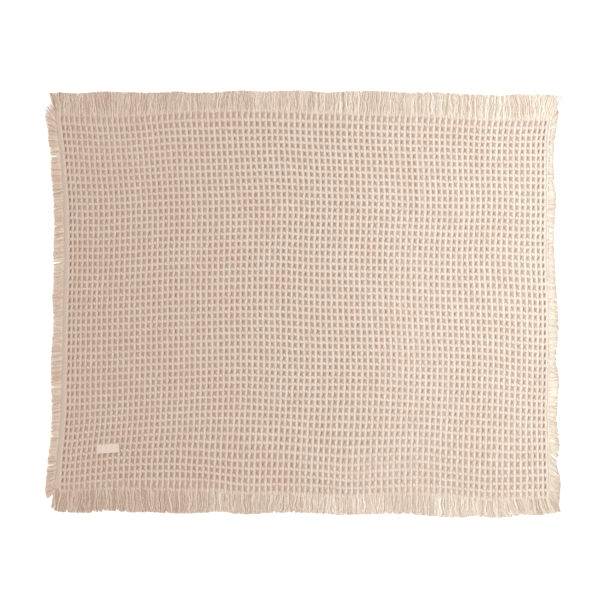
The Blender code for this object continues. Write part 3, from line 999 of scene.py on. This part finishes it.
strand = {
    "shares": (0.0, 0.12, 0.28, 0.46, 0.64, 0.82, 1.0),  # where a strand has its points
    "spacing": (0.2, 0.8),
    "tuftSpread": 0.2,        # in columns or rows, how unevenly the tufts are parted
    "longest": 0.5,           # how far past the outline the longest reach, as a share of ragged
    "underShort": 1.0,        # mm, how much shorter the lower layer is
    "ease": 0.7,              # the power by which strands gather and curl away from their roots
    "group": 7,               # this many tufts lean together
    "groupStray": 1.5,        # and this much more than one does on its own
    "partingReach": 1.5,      # how far a parting is felt, in its own widths
    "tipStray": (0.3, 0.8),   # mm, of the lower layer and the upper
    "waves": (6.2, 3.3),      # mm, the length of a tuft's curl and of a strand's own, over 2 pi
    "ownShare": 0.4,
    "underShare": 0.3,        # how much of it the lower layer has
    "liveliness": (0.4, 1.3),
    "rootHeight": 3.1,        # mm
    "heights": (1.1, 2.4),
    "ridgeRise": 0.5,         # how much higher a tuft lies that runs on from a ridge
    "underHeight": 0.9,
    "fall": 3.2,              # it comes down to its height in one part in this many of its length
    "heightSpread": 0.15,
    "tipDrop": 0.4,
    "lowest": (1.0, 0.75),    # nothing dips below the floor
    "halfWidth": 0.85,
    "flatness": 0.8,
    "underWidth": 1.3,
    "widthSpread": 0.1,
    "tipWidth": 0.7,
    "tints": (0.1, 0.95),
    "tuftTints": (0.04, -0.06),  # from a ridge and between two
    "underPaintedShadeTints": (0.15, 0.35),  # the lower layer's, darker as painted shade, at its roots, at the top or bottom and at a side
    "underPaintedShadeFade": 0.3,           # and how much the painted shade lifts towards its tips
}


def buildFringe(settings):
    chance = np.random.default_rng(settings["seed"])
    sideX, sideY = settings["side"]
    isEnd = 1 - abs(sideX)  # the top or bottom, where the warp ends
    count = settings["strands"] * 2
    under = np.arange(count) % 2 == 0  # a lower layer fills in behind the upper one
    share = (np.arange(count) + chance.uniform(*strand["spacing"], count)) / count
    if sideX:
        column = np.full(count, -1.0 if sideX < 0 else layout["columns"] + 1.0)
        row = (1 - share) * layout["rows"]
    else:
        column = share * (layout["columns"] + 2) - 1
        row = np.full(count, 0.0 if sideY > 0 else float(layout["rows"]))
    x, y = clothPoint(column, row)
    out, along = (x * sideX, y) if sideX else (y * sideY, x)
    zeroAlong, zeroOut = (layout["zeroY"], layout["zeroX"] * sideX) if sideX else (layout["zeroX"], 0.0)
    alongMm = (along - zeroAlong) / millimetre
    # a full tuft runs on from each ridge, and a thin one lies between two
    weave = row if sideX else column
    edges = np.arange(-1, weave.max() + 1, 0.5) + 0.25
    edges = edges + chance.uniform(-strand["tuftSpread"], strand["tuftSpread"], len(edges))
    tuft = np.searchsorted(edges, weave)
    fromRidge = tuft % 2 == 0
    middles = np.bincount(tuft, alongMm) / np.maximum(np.bincount(tuft), 1)
    toTuft = np.where(under, 0.0, middles[tuft] - alongMm)
    # where the tips lie
    ownLean = chance.normal(0, settings["stray"], len(middles))
    groupLean = chance.normal(0, settings["stray"] * strand["groupStray"], len(middles))
    groupLean = np.convolve(groupLean, np.ones(strand["group"]) / strand["group"], "same")
    tuftLean = np.where(under, 0.0, (ownLean + groupLean)[tuft])
    leans = np.array(settings["leans"], float)
    tips = np.array(settings["tips"], float)
    lean = smoothCurve(leans[:, 0], leans[:, 1], alongMm)
    for place, paintedShade in settings["partings"]:
        away = alongMm - place
        lean = lean + np.sign(away) * paintedShade / 2 * np.exp(-np.abs(away) / (paintedShade * strand["partingReach"]))
    tipAlong = alongMm + lean + tuftLean + chance.normal(0, np.where(under, *strand["tipStray"]))
    tipOut = smoothCurve(tips[:, 0], np.abs(tips[:, 1]), tipAlong)
    tooShort = np.abs(chance.normal(0, settings["ragged"], count))
    tipOut = tipOut + settings["ragged"] * strand["longest"] - tooShort - strand["underShort"] * under
    # the way there: gathered in the tuft halfway, and curling
    t = np.array(strand["shares"])[None, :]
    rootOut = (out - zeroOut) / millimetre - chance.uniform(*settings["inset"], count)
    outMm = rootOut[:, None] + (tipOut - rootOut)[:, None] * t
    turnsAway = (tipAlong - alongMm)[:, None] * t ** settings["bend"]
    gathered = np.sin(np.pi * np.minimum(t, 0.5)) ** strand["ease"]
    gathered = gathered * (1 - (1 - settings["held"]) * np.clip(t * 2 - 1, 0, 1) ** 2)
    phase = chance.uniform(0, 2 * np.pi, len(middles))[tuft][:, None]
    own = chance.uniform(0, 2 * np.pi, count)[:, None]
    lively = chance.uniform(*strand["liveliness"], len(middles))[tuft][:, None]
    tuftWave, ownWave = strand["waves"]
    wave = np.sin(outMm / tuftWave + phase) * lively + np.sin(outMm / ownWave + own) * strand["ownShare"]
    wave = np.where(under[:, None], strand["underShare"], 1.0) * wave
    wave = wave * settings["curl"] * t ** strand["ease"]
    alongAll = alongMm[:, None] + turnsAway + toTuft[:, None] * settings["pull"] * gathered + wave
    # down from the cloth to the floor
    level = chance.uniform(*strand["heights"], count) + fromRidge * strand["ridgeRise"] * isEnd
    level = np.where(under, strand["underHeight"], level)
    fallen = np.clip(t * strand["fall"], 0, 1)
    z = strand["rootHeight"] + (level[:, None] - strand["rootHeight"]) * fallen
    z = z + chance.normal(0, strand["heightSpread"], z.shape)
    z[:, -1] -= strand["tipDrop"]
    z = np.maximum(z, np.where(under, *strand["lowest"])[:, None])
    outward = outMm * millimetre + zeroOut
    beside = alongAll * millimetre + zeroAlong
    xs, ys = (outward * sideX, beside) if sideX else (beside, outward * sideY)
    lift = liftAt(xs.ravel(), ys.ravel()).reshape(z.shape) * (1 - t)
    width = np.where(under, strand["underWidth"], chance.normal(1.0, strand["widthSpread"], count))
    width = width[:, None] * np.where(t == 1, strand["tipWidth"], 1.0)
    tint = chance.uniform(*strand["tints"], count) + np.where(fromRidge, *strand["tuftTints"]) * isEnd
    # the lower layer is painted darker, as painted shade under the upper one, and less so towards its
    # tips
    underPaintedShade = strand["underPaintedShadeTints"][abs(sideX)] + strand["underPaintedShadeFade"] * t
    tint = np.where(under[:, None], underPaintedShade, tint[:, None])
    # the tones: partly the strands' own tone and partly painted shade, most along the right and towards
    # the lower right corner
    tones = np.array(settings["tones"])
    tint = tint + np.interp(alongMm, tones[:, 0], tones[:, 1])[:, None] + settings["rootTone"] * (1 - t)
    return sweepYarns(
        settings["piece"], xs, ys, z * millimetre + lift, width, tint, yarnSection,
        strand["halfWidth"], strand["flatness"], fringeFinish,
    )


fringePieces = {}
for node, settings in fringes.items():
    fringePieces[node] = buildFringe(settings)
    print(settings["piece"], len(fringePieces[node].data.vertices))

label = {
    "size": (52.0, 21.0),
    "middle": (-454.5, -335.5),
    "turn": 3.5,          # degrees
    "height": 4.85,       # mm, its underside
    "thickness": 0.45,
    "cuts": (40, 16),
    "sag": 0.25,          # mm, how far it dips between the ridges under it
    "dips": (0.48, 0.4),  # how fast these follow each other across and up, in radians for each mm
}
stitches = {
    "inFromEnd": 1.7,  # mm
    "count": 7,        # along each end
    "length": 2.0,
    "thickness": 0.42,
    "rise": 0.1,       # how far its middle is above the tape, as a share of its thickness
}


# Where points of the label lie, given in mm from its middle.
def labelPoint(across, up, above):
    sag = label["sag"] * (np.sin(across * label["dips"][0]) + np.cos(up * label["dips"][1])) / 2
    turn = np.radians(label["turn"])
    x = label["middle"][0] + across * np.cos(turn) - up * np.sin(turn)
    y = label["middle"][1] + across * np.sin(turn) + up * np.cos(turn)
    return np.stack([
        x * millimetre + layout["zeroX"],
        y * millimetre + layout["zeroY"],
        (label["height"] + sag + above) * millimetre,
    ], axis=-1)


def buildLabel(settings):
    wide, deep = settings["cuts"]
    u, v = np.meshgrid(np.linspace(-0.5, 0.5, wide + 1), np.linspace(-0.5, 0.5, deep + 1))
    points = labelPoint(u.ravel() * settings["size"][0], v.ravel() * settings["size"][1], 0.0)
    faces = [face[::-1] for face in gridFaces(0, wide + 1, deep + 1)]
    piece = newPiece("sewnLabel", points, [], faces, {})
    solidify = piece.modifiers.new("tape", "SOLIDIFY")
    solidify.thickness = settings["thickness"] * millimetre
    solidify.offset = 1.0
    mesh = bpy.data.meshes.new_from_object(piece.evaluated_get(bpy.context.evaluated_depsgraph_get()))
    piece.modifiers.clear()
    piece.data = mesh
    mesh.materials.append(tapeFinish)
    mesh.shade_smooth()
    return piece


# Puts a stitch, a bead of thread that sinks in at both ends, on each point.
def stitchTree():
    tree, given = newTree("stitchesOnPoints", {
        "Length": "Float", "Thickness": "Float", "Turn": "Float", "Material": "Material",
    })
    given = given.outputs
    bead = addNode(tree, "GeometryNodeMeshUVSphere", {"Segments": 8, "Rings": 6, "Radius": 0.5})
    size = addNode(tree, "ShaderNodeCombineXYZ", {
        0: given["Thickness"], 1: given["Length"], 2: given["Thickness"],
    })
    turn = addNode(tree, "ShaderNodeCombineXYZ", {2: given["Turn"]})
    turn = addNode(tree, "FunctionNodeEulerToRotation", {"Euler": turn})
    placed = addNode(tree, "GeometryNodeInstanceOnPoints", {
        "Points": given["Geometry"], "Instance": bead.outputs["Mesh"], "Rotation": turn, "Scale": size,
    })
    closeTree(tree, placed, given["Material"])
    return tree


def buildStitches(settings):
    width, depth = label["size"]
    ups = (np.arange(settings["count"]) + 0.5) / settings["count"] * depth - depth / 2
    ends = np.array([-1, 1]) * (width / 2 - settings["inFromEnd"])
    across, up = np.meshgrid(ends, ups)
    above = label["thickness"] + settings["thickness"] * settings["rise"]
    points = labelPoint(across.ravel(), up.ravel(), above)
    piece = newPiece("labelStitches", points, [], [], {})
    return runTree(piece, stitchTree(), {
        "Length": settings["length"] * millimetre,
        "Thickness": settings["thickness"] * millimetre,
        "Turn": np.radians(label["turn"]),
        "Material": tapeFinish,
    })


labelPiece = buildLabel(label)
stitchPiece = buildStitches(stitches)
print("label and", len(stitchPiece.data.polygons), "stitch faces")

studio = {
    "floor": "#FFFFFF",
    "floorSize": 60.0,  # m
    "floorRoughness": 0.9,
    "floorGlow": 0.25,
    "sky": "#FFF4E8",
    "skyStrength": 0.46,
    # from above and the upper left, wide enough that its shadows are soft
    "window": {
        "energy": 1.77, "location": (-2, 1, 3), "rotation": (0, -40, -10), "angle": 38,
        "colour": "#FFF9FA",
    },
    # a cooler lamp, also from the left, aimed past the far edge, so that the right is the brighter side
    "lamp": {
        "energy": 4800, "location": (-4.4, 1.8, 6.8), "aim": (3.2, -0.25, 0.0),
        "cone": 36, "radius": 0.6, "colour": "#DCF7FF",
    },
}


def buildFloor(settings):
    half = settings["floorSize"] / 2
    corners = [(-half, -half, 0.0), (half, -half, 0.0), (half, half, 0.0), (-half, half, 0.0)]
    floor = newPiece("floor", corners, [], [(0, 1, 2, 3)], {})
    material, tree, shader = newMaterial("pale matt floor", settings["floorRoughness"], 0.0)
    shader.inputs["Base Color"].default_value = linearColour(settings["floor"])
    shader.inputs["Emission Color"].default_value = linearColour(settings["floor"])
    shader.inputs["Emission Strength"].default_value = settings["floorGlow"]
    floor.data.materials.append(material)


def addLight(name, kind, given, rotation, **settings):
    data = bpy.data.lights.new(name, kind)
    data.energy = given["energy"]
    data.color = linearColour(given["colour"])[:3]
    for key, value in settings.items():
        setattr(data, key, value)
    light = bpy.data.objects.new(name, data)
    light.location = given["location"]
    light.rotation_euler = rotation
    scene.collection.objects.link(light)


def buildStudio(settings):
    buildFloor(settings)
    world = bpy.data.worlds.new("studio")
    world.use_nodes = True
    background = world.node_tree.nodes["Background"]
    background.inputs["Color"].default_value = linearColour(settings["sky"])
    background.inputs["Strength"].default_value = settings["skyStrength"]
    scene.world = world
    window = settings["window"]
    turned = [np.radians(angle) for angle in window["rotation"]]
    addLight("window", "SUN", window, turned, angle=np.radians(window["angle"]))
    lamp = settings["lamp"]
    towards = Vector(lamp["aim"]) - Vector(lamp["location"])
    addLight(
        "lamp", "SPOT", lamp, towards.to_track_quat("-Z", "Y").to_euler(),
        spot_size=np.radians(lamp["cone"]), spot_blend=1.0, shadow_soft_size=lamp["radius"],
    )
    scene.view_settings.view_transform = "Standard"


buildStudio(studio)
print("studio lit")

ridges = [warpRidges, weftRidges]
for piece in [cloth, *ridges, *fringePieces.values(), labelPiece, stitchPiece]:
    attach(piece, "root")
for piece in [cloth, *ridges]:
    mapFromAbove(piece, bakeMap)
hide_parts("waffle_cloth")
for node, piece in fringePieces.items():
    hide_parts(node)
    mapFromAbove(piece, bakeMap)
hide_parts("sewn_label")

print("declared")
